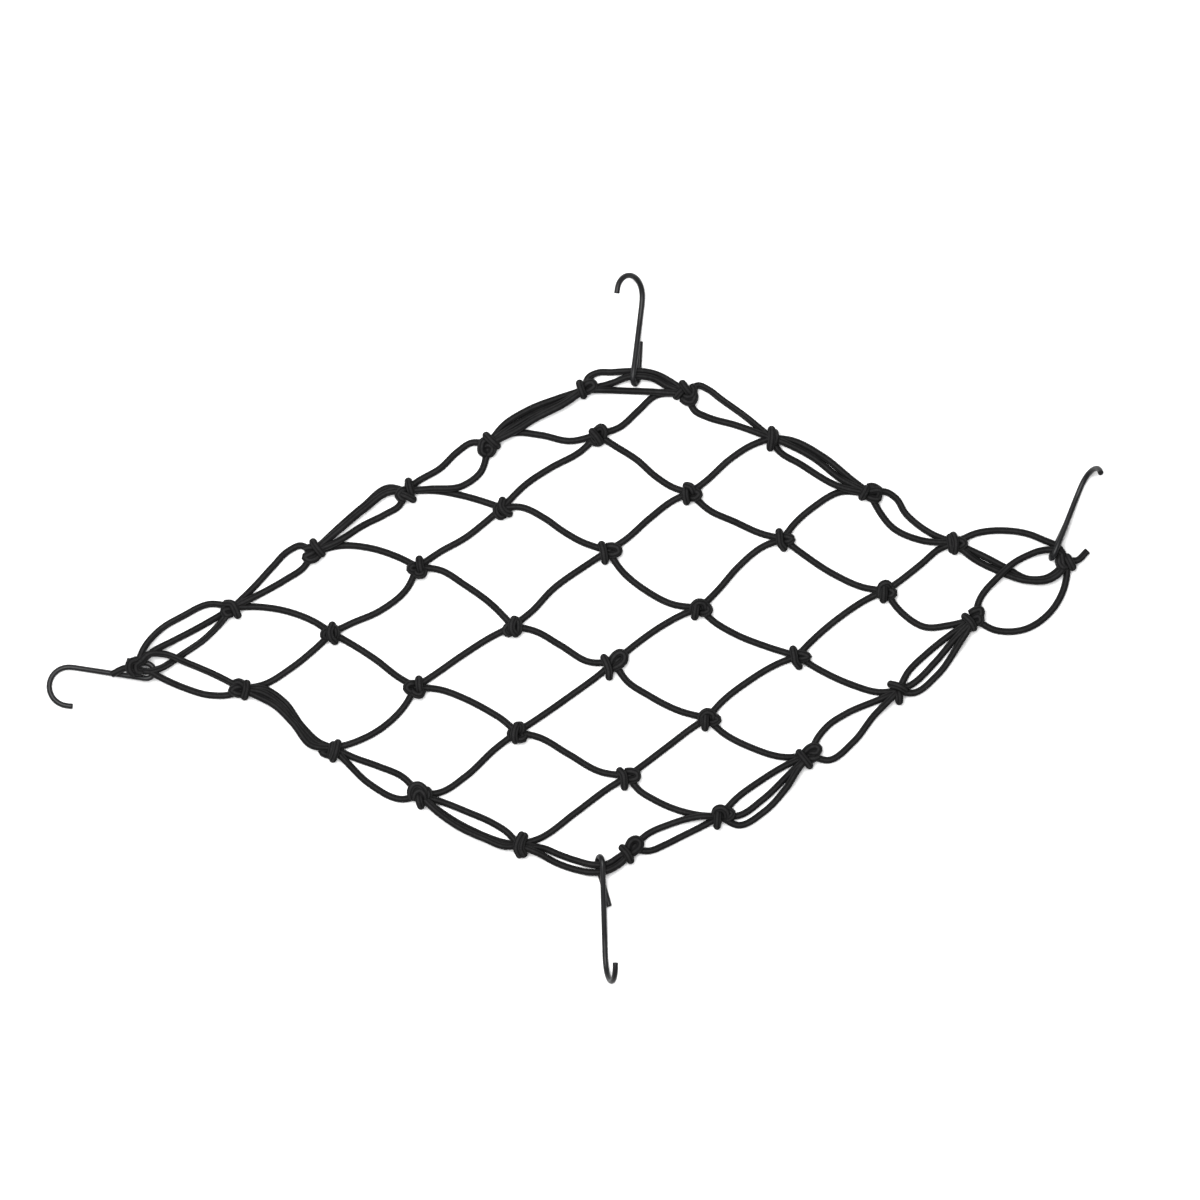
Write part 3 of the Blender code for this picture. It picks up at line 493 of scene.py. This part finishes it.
# %% Where each turn of a knot runs
TURN_STEP = 0.001
TURN_RADIUS = 0.00235            # the cord is squeezed a little flatter and wider in a knot
# How high a turn is at its ends and between them, and whether it then dives under the knot.
Lie = namedtuple("Lie", "end middle dives")
LIES = {
    "band": Lie(0.0062, 0.0084, True), "arch": Lie(0.0056, 0.0074, True),
    "bight": Lie(0.0046, 0.0058, False), "low": Lie(0.0034, 0.0042, False),
}
# A turn that dives comes down at both ends, and both run to one place under the knot.
DIVE_FLANK = 0.0036              # how low it comes straight down, at the side of the knot
DIVE_UNDER = 0.0025              # its height under the knot
DIVE_REACH = 0.62                # it is that low this far out, as a share of the way to its end
DIVE_SHIFT = 0.25                # that place is the knot's middle, moved this share towards each end


def turn_route(turn):
    """A turn's points, from where it comes out of the knot to where it goes in again."""
    knot, lie = KNOTS[turn.knot], LIES[turn.lie]
    middle = on_surface(knot.x, knot.y)
    flat = [middle + np.array((place[0], -place[1])) * PICTURE_UNIT for place in turn.way]
    heights = [lie.end] + [lie.middle] * (len(flat) - 2) + [lie.end]
    for k, place in enumerate(turn.way):
        if len(place) > 2:
            heights[k] = place[2] / 1000
    stops = [(*place, height) for place, height in zip(flat, heights)]
    if lie.dives:
        under = middle + DIVE_SHIFT * (flat[0] + flat[-1] - 2 * middle)
        for end, put in ((0, lambda stop: stops.insert(0, stop)), (-1, stops.append)):
            put((*flat[end], DIVE_FLANK))
            put((*(under + DIVE_REACH * (flat[end] - under)), DIVE_UNDER))
            put((*under, DIVE_UNDER))
    route = smooth_curve(stops, TURN_STEP)[1]
    route[:, 2] += knot.lift / 1000
    return route


turn_routes = [turn_route(turn) for turn in TURNS]
cord_turned = sum(np.linalg.norm(np.diff(route, axis=0), axis=1).sum() for route in turn_routes)
print("cord in the turns:", round(cord_turned, 2), "m")

# %% [markdown]
# ## From a route to a cord
# A cord could be a curve with a round bevel, which is quick. Here it is meshed ring by ring, because
# the sheath's braid has to follow the cord, and each corner of the mesh then carries its place on
# it: how far along, in metres, and how far round, from 0 to 1. Many tubes go into one mesh, so the
# net is two pieces, its strands and its knots.

# %% A tube along a route
def rings_along(route, radius, sides, shape):
    """The rings of a tube, and how far along each one is. shape adds rings that close the ends."""
    tangents = np.gradient(route, axis=0)
    tangents /= np.linalg.norm(tangents, axis=1)[:, None]
    normal = np.cross(tangents[0], (0.0, 0.0, 1.0))
    if np.linalg.norm(normal) < 0.1:
        normal = np.cross(tangents[0], (1.0, 0.0, 0.0))
    angles = 2 * math.pi * np.arange(sides) / sides
    rings, along, gone = [], [], 0.0
    for k, place in enumerate(route):
        normal = normal - tangents[k] * (normal @ tangents[k])
        normal /= np.linalg.norm(normal)
        sideways = np.cross(tangents[k], normal)
        ring = np.cos(angles)[:, None] * normal + np.sin(angles)[:, None] * sideways
        if k:
            gone += np.linalg.norm(place - route[k - 1])
        if k == 0:
            for out, share in reversed(shape):
                rings.append(place - tangents[0] * out + ring * radius * share)
                along.append(-out)
        rings.append(place + ring * radius)
        along.append(gone)
        if k == len(route) - 1:
            for out, share in shape:
                rings.append(place + tangents[k] * out + ring * radius * share)
                along.append(gone + out)
    return np.array(rings), np.array(along)


def tubes_mesh(name, routes, radius, sides, shape):
    """One mesh of many closed tubes, each corner knowing how far along and how far round it is."""
    points, faces, places = [], [], []
    count = 0
    for route in routes:
        rings, along = rings_along(route, radius, sides, shape)
        points.append(rings.reshape(-1, 3))
        for k in range(len(rings) - 1):
            low, high = count + k * sides, count + (k + 1) * sides
            for j in range(sides):
                after = (j + 1) % sides
                faces.append((low + j, low + after, high + after, high + j))
                round_share = (j / sides, (j + 1) / sides)
                places += [(along[k], round_share[0]), (along[k], round_share[1]),
                           (along[k + 1], round_share[1]), (along[k + 1], round_share[0])]
        last = count + (len(rings) - 1) * sides
        faces.append(tuple(count + j for j in reversed(range(sides))))
        faces.append(tuple(last + j for j in range(sides)))
        places += [(along[0], j / sides) for j in reversed(range(sides))]
        places += [(along[-1], j / sides) for j in range(sides)]
        count += len(rings) * sides
    mesh = bpy.data.meshes.new(name)
    mesh.from_pydata(np.concatenate(points).tolist(), [], faces)
    uv = mesh.uv_layers.new(name="cord_run")
    uv.data.foreach_set("uv", np.array(places, float).ravel())
    mesh.shade_smooth()
    mesh.validate()
    return mesh


def add_piece(name, mesh):
    """A mesh as an object of the scene."""
    piece = bpy.data.objects.new(name, mesh)
    bpy.context.scene.collection.objects.link(piece)
    print(name, "has", sum(len(face.vertices) - 2 for face in mesh.polygons), "triangles")
    return piece


# %% The strands and the knots
STRAND_SIDES = 16
TURN_SIDES = 20                  # the turns stand up and show their outline, so they are rounder
# The rings that close an end: how far out each is, and what share of the radius it has.
SEALED_END = ((0.00025, 0.93), (0.0004, 0.72), (0.00045, 0.35))
net_strands = add_piece(
    "net_strands", tubes_mesh("net_strands", strand_routes, SHEATH_RADIUS, STRAND_SIDES, SEALED_END))
net_knots = add_piece(
    "net_knots", tubes_mesh("net_knots", turn_routes, TURN_RADIUS, TURN_SIDES, SEALED_END))

# %% [markdown]
# ## The hooks
# Each hook is one piece of round wire, cut off square and bent twice: a narrow eye at one end that
# holds the cord, with its short leg lying back along the shank, and a wide mouth at the other. The
# solids have eight flat sides. The finished wire follows the same bends with enough sides and steps
# to be round and smooth, which the soft shine of its coating needs.

# %% The bends of a hook
# x and y are the outside of the eye's bend, and heading is the way from there to the mouth. side is
# 1 where the mouth bends to the left of that way, and -1 to the right. mouth_roll and eye_roll tip
# the bends out of the flat, leg_turn swings the short leg, and sweep is how far the mouth bends, all
# in degrees. length is the whole hook, leg its short leg, run the wire in the mouth's bend, and
# bend_lift the height of the eye's bend, in millimetres. tighten over 1 bends the mouth more
# towards its tip.
Hook = namedtuple(
    "Hook", "x y heading length side mouth_roll eye_roll leg leg_turn sweep run tighten bend_lift")
HOOKS = {
    "hook_top": Hook(634.4, 387.0, 83, 68.0, 1, 45, 69, 26.0, 4, 182, 47, 1.5, 0.0),
    "hook_right": Hook(1049.5, 561, 67.6, 64.0, -1, 69, 86, 24.0, -3, 117, 31, 1.2, 0.0),
    "hook_bottom": Hook(599.7, 853.4, 271.6, 78.4, 1, 75, 70, 31.0, 14, 175, 46, 1.4, 0.0),
    "hook_left": Hook(157.3, 672.3, 171.5, 65.2, 1, 0, 0, 17.0, 0, 184, 44, 1.0, 5.0),
}
LEG_STEPS = 4
EYE_STEPS = 16
MOUTH_STEPS = 36
SHANK_STEPS = 14
SOFT_END = 0.15                  # the share of a bend over which it starts, and over which it ends
LEG_DROP = 1 / 3                 # how much of the eye's lift the tip of the short leg has lost
WIRE_STEP = 0.0007
WIRE_SIDES = 20
FILED_END = ((0.0, 0.98), (0.00022, 0.84), (0.00022, 0.4))


def slant(share):
    """A change from 0 to 1 that is even but for its soft ends."""
    slope = 1 / (1 - SOFT_END)
    if share < SOFT_END:
        return slope * share**2 / (2 * SOFT_END)
    if share > 1 - SOFT_END:
        return 1 - slope * (1 - share)**2 / (2 * SOFT_END)
    return slope * (share - SOFT_END / 2)


def mouth_bend(hook, ahead, mouth_way):
    """The bend of a hook's mouth, counted from the end of its shank."""
    chord = hook.run / 1000 / MOUTH_STEPS
    place = Vector((0.0, 0.0, 0.0))
    bend = []
    for step in range(MOUTH_STEPS):
        angle = math.radians(hook.sweep) * slant(((step + 0.5) / MOUTH_STEPS) ** hook.tighten)
        place = place + (ahead * math.cos(angle) + mouth_way * math.sin(angle)) * chord
        bend.append(place)
    return bend


def hook_route(hook):
    """The centre line of a hook: short leg, eye, shank and mouth."""
    turn = math.radians(hook.heading)
    ahead = Vector((math.cos(turn), math.sin(turn), 0.0))
    aside = Vector((-ahead.y, ahead.x, 0.0)) * hook.side
    up = Vector((0.0, 0.0, 1.0))
    mouth_roll, eye_roll = math.radians(hook.mouth_roll), math.radians(hook.eye_roll)
    mouth_way = aside * math.cos(mouth_roll) + up * math.sin(mouth_roll)
    eye_way = -aside * math.cos(eye_roll) - up * math.sin(eye_roll)
    eye_radius = (EYE_GAP + 2 * WIRE_RADIUS) / 2
    bend = Vector((*on_surface(hook.x, hook.y), 0.0))
    eye_height = WIRE_RADIUS + hook.bend_lift / 1000 + eye_radius * math.sin(eye_roll)
    eye = bend + ahead * (eye_radius + WIRE_RADIUS) + up * eye_height

    line = []
    leg_turn = Matrix.Rotation(math.radians(hook.leg_turn), 3, "Z")
    leg_start = eye + eye_way * eye_radius
    leg_end = leg_start + leg_turn @ ahead * (hook.leg / 1000 - eye_radius)
    leg_end.z = max(WIRE_RADIUS, leg_end.z - LEG_DROP * hook.bend_lift / 1000)
    for step in range(LEG_STEPS):
        line.append(leg_end.lerp(leg_start, step / LEG_STEPS))
    for step in range(EYE_STEPS + 1):
        angle = math.pi * (0.5 - step / EYE_STEPS)
        line.append(eye - ahead * eye_radius * math.cos(angle) + eye_way * eye_radius * math.sin(angle))
    shank_start = line[-1]
    mouth = mouth_bend(hook, ahead, mouth_way)
    mouth_reach = max(place.dot(ahead) for place in mouth)
    shank_length = hook.length / 1000 - eye_radius - mouth_reach - 2 * WIRE_RADIUS
    for step in range(1, SHANK_STEPS + 1):
        share = step / SHANK_STEPS
        place = shank_start + ahead * shank_length * share
        place.z += (WIRE_RADIUS - shank_start.z) * slant(share)
        line.append(place)
    shank_end = line[-1]
    line += [shank_end + place for place in mouth]
    return smooth_curve([tuple(place) for place in line], WIRE_STEP)[1]


# %% The four hooks
hooks = {}
for name, hook in HOOKS.items():
    wire = tubes_mesh(name, [hook_route(hook)], WIRE_RADIUS, WIRE_SIDES, FILED_END)
    hooks[name] = add_piece(f"{name}_wire", wire)

# %% [markdown]
# ## Finishes
# The sheath of the cord is braided from fine black yarn. Its yarns cross at a slant and lie in
# ridges that run along the cord, with a groove between two ridges, and the colour is painted darker
# down in the grooves, as painted shade. The pattern is worked out from the place on the cord, so it
# bends with every turn of a knot. Both finishes of the object vary a little from place to place, so
# that effect is a group that each material uses with its own values. The cord's colour also has
# painted shade where it lies close to other cord.

# %% Small helpers for nodes
def new_group(name, inputs, outputs):
    """An empty node group with number inputs, as (name, value), and outputs, as (name, kind)."""
    group = bpy.data.node_groups.new(name, "ShaderNodeTree")
    for label, value in inputs:
        socket = group.interface.new_socket(label, in_out="INPUT", socket_type="NodeSocketFloat")
        socket.default_value = value
    for label, kind in outputs:
        group.interface.new_socket(label, in_out="OUTPUT", socket_type=kind)
    return group, group.nodes.new("NodeGroupInput"), group.nodes.new("NodeGroupOutput")


def maths(tree, operation, *values):
    """A Math node. Each value is a number or an output socket."""
    node = tree.nodes.new("ShaderNodeMath")
    node.operation = operation
    for socket, value in zip(node.inputs, values):
        if isinstance(value, bpy.types.NodeSocket):
            tree.links.new(value, socket)
        else:
            socket.default_value = value
    return node.outputs[0]


def spread(tree, value, low, high):
    """A value from 0 to 1, spread from low to high."""
    return maths(tree, "MULTIPLY_ADD", value, high - low, low)


def rounded(tree, value):
    """1 in the middle of a ridge or yarn, falling to 0 at both edges, for a value from -0.5 to 0.5."""
    outward = maths(tree, "ABSOLUTE", maths(tree, "MULTIPLY", value, 2.0))
    return maths(tree, "SUBTRACT", 1.0, maths(tree, "POWER", outward, 2.0))


def placed(tree, group, values):
    """A group placed in a material, with its own values."""
    node = tree.nodes.new("ShaderNodeGroup")
    node.node_tree = group
    for label, value in values.items():
        node.inputs[label].default_value = value
    return node


# %% The braided sheath
def make_sheath():
    """Height, painted groove shade and tone of a braid that follows the cord."""
    group, given, result = new_group(
        "braided_sheath", (("Ridges", 8.0), ("Yarn Length", 0.0012)),
        (("Height", "NodeSocketFloat"), ("Painted Shade", "NodeSocketFloat"), ("Tone", "NodeSocketFloat")))
    run = group.nodes.new("ShaderNodeUVMap")
    run.uv_map = "cord_run"
    split = group.nodes.new("ShaderNodeSeparateXYZ")
    group.links.new(run.outputs["UV"], split.inputs[0])
    ridges = maths(group, "MULTIPLY", split.outputs["Y"], given.outputs["Ridges"])
    ridge = maths(group, "FLOOR", ridges)
    across = maths(group, "SUBTRACT", maths(group, "FRACT", ridges), 0.5)
    way = maths(group, "MULTIPLY_ADD", maths(group, "MODULO", ridge, 2.0), 2.0, -1.0)
    yarns = maths(group, "ADD", maths(group, "DIVIDE", split.outputs["X"], given.outputs["Yarn Length"]),
                  maths(group, "MULTIPLY", across, way))
    yarn = maths(group, "SUBTRACT", maths(group, "FRACT", yarns), 0.5)
    height = maths(group, "MULTIPLY", rounded(group, across), spread(group, rounded(group, yarn), 0.6, 1.0))
    each = group.nodes.new("ShaderNodeCombineXYZ")
    group.links.new(maths(group, "FLOOR", yarns), each.inputs["X"])
    group.links.new(ridge, each.inputs["Y"])
    chance = group.nodes.new("ShaderNodeTexWhiteNoise")
    group.links.new(each.outputs[0], chance.inputs["Vector"])
    group.links.new(height, result.inputs["Height"])
    # The shade output is painted shade: darker colour where the braid is low, in its grooves and between
    # its yarns.
    group.links.new(spread(group, height, 0.10, 1.0), result.inputs["Painted Shade"])
    group.links.new(chance.outputs["Value"], result.inputs["Tone"])
    return group


sheath = make_sheath()


# %% Uneven tone, for both finishes
def make_mottle():
    """A soft and a fine unevenness over a surface, each from 0 to 1."""
    group, given, result = new_group(
        "mottle", (("Patch Scale", 40.0), ("Grain Scale", 900.0)),
        (("Patches", "NodeSocketFloat"), ("Grain", "NodeSocketFloat")))
    place = group.nodes.new("ShaderNodeTexCoord")
    for label, scale, detail in (("Patches", "Patch Scale", 3.0), ("Grain", "Grain Scale", 2.0)):
        noise = group.nodes.new("ShaderNodeTexNoise")
        noise.inputs["Detail"].default_value = detail
        group.links.new(place.outputs["Object"], noise.inputs["Vector"])
        group.links.new(given.outputs[scale], noise.inputs["Scale"])
        group.links.new(noise.outputs["Fac"], result.inputs[label])
    return group


mottle = make_mottle()
print("groups:", [group.name for group in bpy.data.node_groups])


# %% Start a material
def new_material(name):
    """A material with its node tree and its shader."""
    material = bpy.data.materials.new(name)
    material.use_nodes = True
    return material, material.node_tree, material.node_tree.nodes["Principled BSDF"]


def colour_between(tree, share, low, high):
    """A colour between two, by a share from 0 to 1."""
    mix = tree.nodes.new("ShaderNodeMix")
    mix.data_type = "RGBA"
    tree.links.new(share, mix.inputs["Factor"])
    mix.inputs["A"].default_value = (*low, 1.0)
    mix.inputs["B"].default_value = (*high, 1.0)
    return mix.outputs["Result"]


# %% The cord's finish
CORD_SHADE_REACH = 0.004         # painted shade: cord that lies nearer than this to other cord is painted darker
CORD_DARK = (0.0012, 0.0012, 0.0013)
CORD_LIGHT = (0.0235, 0.0232, 0.0235)


def make_cord_finish():
    """Black braided cord: matt, a little furry, yarns slightly uneven; painted shade in grooves and gaps.
    """
    material, tree, shader = new_material("elastic_cord")
    braid = placed(tree, sheath, {"Ridges": 6.0, "Yarn Length": 0.0009})
    uneven = placed(tree, mottle, {"Patch Scale": 55.0, "Grain Scale": 1400.0})
    # The braid's painted shade in its grooves, times the yarns' own random tone and the soft patches.
    share = maths(tree, "MULTIPLY", braid.outputs["Painted Shade"], spread(tree, braid.outputs["Tone"], 0.72, 1.0))
    share = maths(tree, "MULTIPLY", share, spread(tree, uneven.outputs["Patches"], 0.55, 1.35))
    # Painted shade: the colour is darkened where other cord lies within this reach, as if in its shadow.
    painted_shade_near_cord = tree.nodes.new("ShaderNodeAmbientOcclusion")
    painted_shade_near_cord.inputs["Distance"].default_value = CORD_SHADE_REACH
    painted_shade_near_cord.samples = 8
    painted_shade_near_cord.only_local = True
    share = maths(tree, "MULTIPLY", share, painted_shade_near_cord.outputs["AO"])
    tree.links.new(colour_between(tree, share, CORD_DARK, CORD_LIGHT), shader.inputs["Base Color"])
    tree.links.new(spread(tree, uneven.outputs["Grain"], 0.62, 0.86), shader.inputs["Roughness"])
    shader.inputs["Sheen Weight"].default_value = 0.005
    shader.inputs["Sheen Roughness"].default_value = 0.45
    shader.inputs["Specular IOR Level"].default_value = 0.04
    bump = tree.nodes.new("ShaderNodeBump")
    bump.inputs["Distance"].default_value = 0.00035
    bump.inputs["Strength"].default_value = 0.8
    relief = maths(tree, "MULTIPLY_ADD", uneven.outputs["Grain"], 0.15, braid.outputs["Height"])
    tree.links.new(relief, bump.inputs["Height"])
    tree.links.new(bump.outputs["Normal"], shader.inputs["Normal"])
    return material


cord_finish = make_cord_finish()
for piece in (net_strands, net_knots):
    piece.data.materials.append(cord_finish)


# %% The wire's finish
WIRE_DARK = (0.0035, 0.0035, 0.0038)
WIRE_LIGHT = (0.011, 0.011, 0.012)


def make_wire_finish():
    """Steel wire with a thin black coating, half matt."""
    material, tree, shader = new_material("coated_wire")
    uneven = placed(tree, mottle, {"Patch Scale": 90.0, "Grain Scale": 700.0})
    tree.links.new(colour_between(tree, uneven.outputs["Patches"], WIRE_DARK, WIRE_LIGHT),
                   shader.inputs["Base Color"])
    tree.links.new(spread(tree, uneven.outputs["Patches"], 0.40, 0.54), shader.inputs["Roughness"])
    tree.links.new(spread(tree, uneven.outputs["Grain"], 0.01, 0.08), shader.inputs["Coat Weight"])
    shader.inputs["Coat Roughness"].default_value = 0.22
    shader.inputs["Specular IOR Level"].default_value = 0.2
    bump = tree.nodes.new("ShaderNodeBump")
    bump.inputs["Distance"].default_value = 0.00006
    bump.inputs["Strength"].default_value = 0.5
    tree.links.new(uneven.outputs["Grain"], bump.inputs["Height"])
    tree.links.new(bump.outputs["Normal"], shader.inputs["Normal"])
    return material


wire_finish = make_wire_finish()
for piece in hooks.values():
    piece.data.materials.append(wire_finish)


# %% The floor's finish
def make_floor_finish():
    """Matt white card."""
    material, tree, shader = new_material("white_card")
    uneven = placed(tree, mottle, {"Patch Scale": 6.0, "Grain Scale": 400.0})
    tree.links.new(colour_between(tree, uneven.outputs["Patches"], (0.90, 0.90, 0.90), (0.92, 0.92, 0.92)),
                   shader.inputs["Base Color"])
    shader.inputs["Roughness"].default_value = 0.9
    shader.inputs["Specular IOR Level"].default_value = 0.1
    return material


floor.data.materials.append(make_floor_finish())

# %% [markdown]
# ## Join the pieces to the frame
# Each piece is put on the body it moves with, and the solid that it stands for is hidden. Its
# finish was given above. There is nothing in this object that moves on its own, so everything is on
# one body.

# %% Put each piece on its body and hide its solid
for piece in (net_strands, net_knots):
    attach(piece, "root")
    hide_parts("net")
for name, piece in hooks.items():
    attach(piece, "root")
    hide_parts(name)
